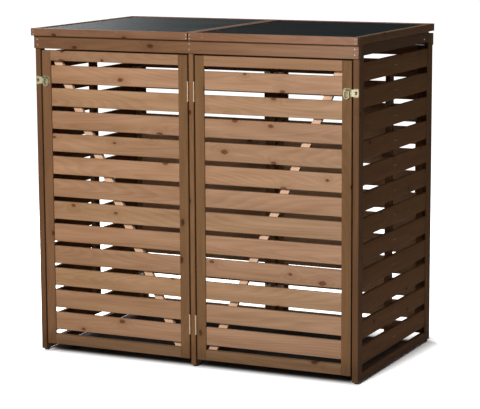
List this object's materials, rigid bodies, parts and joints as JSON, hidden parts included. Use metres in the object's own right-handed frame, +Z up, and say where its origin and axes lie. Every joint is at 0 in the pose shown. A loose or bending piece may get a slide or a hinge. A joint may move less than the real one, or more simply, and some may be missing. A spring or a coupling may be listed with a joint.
{
  "type": "wheelie bin store",
  "caption": "Slatted timber store for wheelie bins, with hinged front doors, felted lift-up lids, hasps with staples, and open bays on small round feet.",
  "frame": {"origin": "on the ground, under the middle of the bounding box", "axes": "+X to the right as seen from in front of the doors, -Y the way the doors face, +Z up"},
  "size_m": [1.324, 0.804, 1.25],
  "materials": {
    "slat_timber": "planed softwood with a brown preservative stain, matt",
    "frame_timber": "planed softwood, stained a little darker than the slats, matt",
    "hidden_timber": "planed softwood, matt",
    "brace_timber": "planed softwood, unstained and paler than the slats",
    "deck_board": "bare sheet, matt",
    "roof_felt": "mineral roofing felt, rough",
    "foot_plastic": "black moulded plastic",
    "hinge_metal": "yellow zinc plated steel, satin",
    "latch_metal": "yellow zinc plated steel, satin",
    "bracket_metal": "bright zinc plated steel"
  },
  "bodies": {
    "frame": {"left_front_post": "frame_timber", "right_front_post": "frame_timber", "left_rear_post": "frame_timber", "right_rear_post": "frame_timber", "left_side_top_rail": "frame_timber", "right_side_top_rail": "frame_timber", "left_side_bottom_rail": "frame_timber", "right_side_bottom_rail": "frame_timber", "left_side_slats": "slat_timber", "right_side_slats": "slat_timber", "left_side_batten": "hidden_timber", "right_side_batten": "hidden_timber", "front_header": "frame_timber", "rear_header": "frame_timber", "front_centre_post": "frame_timber", "rear_centre_post": "frame_timber", "centre_tie": "hidden_timber", "back_outer_stiles": "frame_timber", "back_inner_stiles": "frame_timber", "back_rails": "frame_timber", "back_slats": "slat_timber", "back_brackets": "bracket_metal", "feet": "foot_plastic", "centre_post_hinge_leaves": "hinge_metal", "header_hinge_leaves": "hinge_metal", "staples": "latch_metal"},
    "left_door": {"left_door_hinge_stile": "frame_timber", "left_door_latch_stile": "frame_timber", "left_door_rails": "frame_timber", "left_door_slats": "slat_timber", "left_door_brace": "brace_timber", "left_door_hinge_leaves": "hinge_metal", "left_hasp_plate": "latch_metal"},
    "left_lid": {"left_lid_long_rims": "frame_timber", "left_lid_side_rims": "frame_timber", "left_lid_deck": "deck_board", "left_lid_felt": "roof_felt", "left_lid_battens": "hidden_timber", "left_lid_hinge_leaves": "hinge_metal"},
    "left_hasp": {"left_hasp_leaf": "latch_metal"},
    "left_ring": {"left_drop_ring": "latch_metal"},
    "right_door": {"right_door_hinge_stile": "frame_timber", "right_door_latch_stile": "frame_timber", "right_door_rails": "frame_timber", "right_door_slats": "slat_timber", "right_door_brace": "brace_timber", "right_door_hinge_leaves": "hinge_metal", "right_hasp_plate": "latch_metal"},
    "right_lid": {"right_lid_long_rims": "frame_timber", "right_lid_side_rims": "frame_timber", "right_lid_deck": "deck_board", "right_lid_felt": "roof_felt", "right_lid_battens": "hidden_timber", "right_lid_hinge_leaves": "hinge_metal"},
    "right_hasp": {"right_hasp_leaf": "latch_metal"},
    "right_ring": {"right_drop_ring": "latch_metal"}
  },
  "joints": [
    {"name": "left_door_swing", "type": "hinge", "parent": "frame", "child": "left_door", "pos_m": [-0.0125, -0.38, 0.5985], "axis": [0, 0, 1], "range_deg": [0, 85]},
    {"name": "right_door_swing", "type": "hinge", "parent": "frame", "child": "right_door", "pos_m": [0.0125, -0.38, 0.5985], "axis": [0, 0, -1], "range_deg": [0, 85]},
    {"name": "left_lid_lift", "type": "hinge", "parent": "frame", "child": "left_lid", "pos_m": [-0.3295, 0.399, 1.21775], "axis": [-1, 0, 0], "range_deg": [0, 95]},
    {"name": "right_lid_lift", "type": "hinge", "parent": "frame", "child": "right_lid", "pos_m": [0.3295, 0.399, 1.21775], "axis": [-1, 0, 0], "range_deg": [0, 95]},
    {"name": "left_hasp_swing", "type": "hinge", "parent": "left_door", "child": "left_hasp", "pos_m": [-0.6275, -0.3795, 1.053], "axis": [0, 0, 1], "range_deg": [0, 90]},
    {"name": "right_hasp_swing", "type": "hinge", "parent": "right_door", "child": "right_hasp", "pos_m": [0.6275, -0.3795, 1.053], "axis": [0, 0, -1], "range_deg": [0, 90]},
    {"name": "left_ring_lift", "type": "hinge", "parent": "left_door", "child": "left_ring", "pos_m": [-0.6135, -0.3845, 1.0605], "axis": [-1, 0, 0], "range_deg": [-8, 95]},
    {"name": "right_ring_lift", "type": "hinge", "parent": "right_door", "child": "right_ring", "pos_m": [0.6135, -0.3845, 1.0605], "axis": [-1, 0, 0], "range_deg": [-8, 95]}
  ]
}
